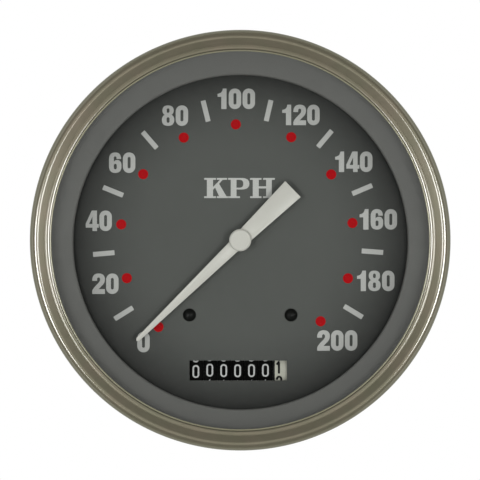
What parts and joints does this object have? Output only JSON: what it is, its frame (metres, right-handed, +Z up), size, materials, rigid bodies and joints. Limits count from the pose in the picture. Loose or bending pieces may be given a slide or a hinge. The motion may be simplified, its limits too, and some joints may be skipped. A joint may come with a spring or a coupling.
{
  "type": "speedometer",
  "caption": "Round cable-driven dashboard speedometer with a grey dial, white pointer, drum odometer, steel bezel and studded metal case.",
  "frame": {"origin": "on the pointer's axis, in the plane of the panel's front, 0.25 mm behind the bezel's back edge", "axes": "+X to the right as the dial is read, +Z up the dial, +Y along the pointer's axis to the back, towards the cable"},
  "size_m": [0.124, 0.0855, 0.124],
  "materials": {
    "bezel_steel": "brushed stainless, lightly polished",
    "glass": "clear flat glass",
    "seal_rubber": "matte black",
    "ring_grey": "satin mid grey",
    "dial_grey": "matte grey with pale figures and red dots",
    "screw_black": "semi-gloss black",
    "bright_steel": "turned bright",
    "case_steel": "zinc-plated drawn steel",
    "plate_steel": "plated stamping",
    "brass": "turned brass",
    "spring_bronze": "phosphor bronze strip",
    "cast_alloy": "die-cast, matte",
    "nipple_steel": "zinc-plated, threaded",
    "stud_steel": "zinc-plated, threaded",
    "nut_steel": "zinc-plated",
    "holder_plastic": "black moulding",
    "bulb_glass": "clear lamp",
    "terminal_tin": "tinned brass blade",
    "pointer_paint": "matte off-white",
    "cup_aluminium": "spun aluminium",
    "magnet": "sintered magnet",
    "gear_plastic": "natural nylon",
    "drum_black": "matte black with pale figures",
    "drum_white": "off-white with black figures"
  },
  "bodies": {
    "root": {"bezel": "bezel_steel", "glass_lens": "glass", "lens_seal": "seal_rubber", "trim_ring": "ring_grey", "dial_plate": "dial_grey", "dial_screws": "screw_black", "dial_posts": "bright_steel", "case_can": "case_steel", "front_plate": "plate_steel", "spindle_bush": "brass", "stop_posts": "bright_steel", "hairspring_stud": "brass", "hairspring": "spring_bronze", "middle_plate": "plate_steel", "field_cup": "plate_steel", "shaft_bushes": "brass", "pillars": "bright_steel", "plate_screws": "bright_steel", "base_frame": "cast_alloy", "cable_nipple": "nipple_steel", "cross_shaft_bracket": "plate_steel", "odometer_frame": "plate_steel", "drum_axle": "bright_steel", "pinion_axle": "bright_steel", "mounting_studs": "stud_steel", "stud_washers": "stud_steel", "stud_nuts": "nut_steel", "rear_screws": "nut_steel", "lamp_holders": "holder_plastic", "lamp_bulbs": "bulb_glass", "lamp_terminals": "terminal_tin"},
    "pointer": {"pointer_blade": "pointer_paint", "hub_cap": "pointer_paint", "spindle": "bright_steel", "speed_cup": "cup_aluminium", "spring_collet": "brass", "stop_arm": "bright_steel"},
    "input_shaft": {"drive_shaft": "bright_steel", "drag_magnet": "magnet", "input_worm": "brass"},
    "cross_train": {"cross_shaft": "bright_steel", "cross_wheel": "gear_plastic", "cross_worm": "brass"},
    "stub_train": {"stub_shaft": "bright_steel", "stub_wheel": "gear_plastic", "stub_gear": "gear_plastic"},
    "tenths": {"tenths_drum": "drum_white"},
    "units_1": {"drum_1": "drum_black"},
    "units_2": {"drum_2": "drum_black"},
    "units_3": {"drum_3": "drum_black"},
    "units_4": {"drum_4": "drum_black"},
    "units_5": {"drum_5": "drum_black"},
    "units_6": {"drum_6": "drum_black"},
    "pinion_1": {"carry_pinion_1": "gear_plastic"},
    "pinion_2": {"carry_pinion_2": "gear_plastic"},
    "pinion_3": {"carry_pinion_3": "gear_plastic"},
    "pinion_4": {"carry_pinion_4": "gear_plastic"},
    "pinion_5": {"carry_pinion_5": "gear_plastic"},
    "pinion_6": {"carry_pinion_6": "gear_plastic"}
  },
  "joints": [
    {"name": "pointer_sweep", "type": "hinge", "parent": "root", "child": "pointer", "pos_m": [0, 0, 0], "axis": [0, 1, 0], "range_deg": [0, 272], "stiffness_Nm_per_rad": 0.0001, "springref_deg": -29.79, "deforming": ["hairspring"]},
    {"name": "input_spin", "type": "hinge", "parent": "root", "child": "input_shaft", "pos_m": [0, 0.03, 0], "axis": [0, 1, 0], "continuous": true},
    {"name": "cross_spin", "type": "hinge", "parent": "root", "child": "cross_train", "pos_m": [0.0156, 0.0316, 0], "axis": [0, 0, 1], "continuous": true},
    {"name": "stub_spin", "type": "hinge", "parent": "root", "child": "stub_train", "pos_m": [0.0156, 0.0208, -0.02934], "axis": [1, 0, 0], "continuous": true},
    {"name": "tenths_spin", "type": "hinge", "parent": "root", "child": "tenths", "pos_m": [0.0117, 0.01125, -0.0385], "axis": [1, 0, 0], "continuous": true},
    {"name": "drum_1_spin", "type": "hinge", "parent": "root", "child": "units_1", "pos_m": [0.00759, 0.01125, -0.0385], "axis": [1, 0, 0], "continuous": true},
    {"name": "drum_2_spin", "type": "hinge", "parent": "root", "child": "units_2", "pos_m": [0.00348, 0.01125, -0.0385], "axis": [1, 0, 0], "continuous": true},
    {"name": "drum_3_spin", "type": "hinge", "parent": "root", "child": "units_3", "pos_m": [-0.00063, 0.01125, -0.0385], "axis": [1, 0, 0], "continuous": true},
    {"name": "drum_4_spin", "type": "hinge", "parent": "root", "child": "units_4", "pos_m": [-0.00474, 0.01125, -0.0385], "axis": [1, 0, 0], "continuous": true},
    {"name": "drum_5_spin", "type": "hinge", "parent": "root", "child": "units_5", "pos_m": [-0.00885, 0.01125, -0.0385], "axis": [1, 0, 0], "continuous": true},
    {"name": "drum_6_spin", "type": "hinge", "parent": "root", "child": "units_6", "pos_m": [-0.01296, 0.01125, -0.0385], "axis": [1, 0, 0], "continuous": true},
    {"name": "pinion_1_spin", "type": "hinge", "parent": "root", "child": "pinion_1", "pos_m": [0.00964, 0.01954, -0.04328], "axis": [1, 0, 0], "continuous": true},
    {"name": "pinion_2_spin", "type": "hinge", "parent": "root", "child": "pinion_2", "pos_m": [0.00553, 0.01954, -0.04328], "axis": [1, 0, 0], "continuous": true},
    {"name": "pinion_3_spin", "type": "hinge", "parent": "root", "child": "pinion_3", "pos_m": [0.00142, 0.01954, -0.04328], "axis": [1, 0, 0], "continuous": true},
    {"name": "pinion_4_spin", "type": "hinge", "parent": "root", "child": "pinion_4", "pos_m": [-0.00269, 0.01954, -0.04328], "axis": [1, 0, 0], "continuous": true},
    {"name": "pinion_5_spin", "type": "hinge", "parent": "root", "child": "pinion_5", "pos_m": [-0.0068, 0.01954, -0.04328], "axis": [1, 0, 0], "continuous": true},
    {"name": "pinion_6_spin", "type": "hinge", "parent": "root", "child": "pinion_6", "pos_m": [-0.01091, 0.01954, -0.04328], "axis": [1, 0, 0], "continuous": true}
  ],
  "couplings": [
    {"joint": "cross_spin", "follows": "input_spin", "ratio": 0.025},
    {"joint": "stub_spin", "follows": "input_spin", "ratio": 0.001},
    {"joint": "tenths_spin", "follows": "input_spin", "ratio": -0.001},
    {"joint": "drum_1_spin", "follows": "input_spin", "ratio": -0.0001},
    {"joint": "drum_2_spin", "follows": "input_spin", "ratio": -0.00001},
    {"joint": "drum_3_spin", "follows": "input_spin", "ratio": -0.000001},
    {"joint": "drum_4_spin", "follows": "input_spin", "ratio": -0.0000001},
    {"joint": "drum_5_spin", "follows": "input_spin", "ratio": -0.00000001},
    {"joint": "drum_6_spin", "follows": "input_spin", "ratio": -0.000000001},
    {"joint": "pinion_1_spin", "follows": "input_spin", "ratio": 0.00025},
    {"joint": "pinion_2_spin", "follows": "input_spin", "ratio": 0.000025},
    {"joint": "pinion_3_spin", "follows": "input_spin", "ratio": 0.0000025},
    {"joint": "pinion_4_spin", "follows": "input_spin", "ratio": 0.00000025},
    {"joint": "pinion_5_spin", "follows": "input_spin", "ratio": 0.000000025},
    {"joint": "pinion_6_spin", "follows": "input_spin", "ratio": 0.0000000025}
  ]
}
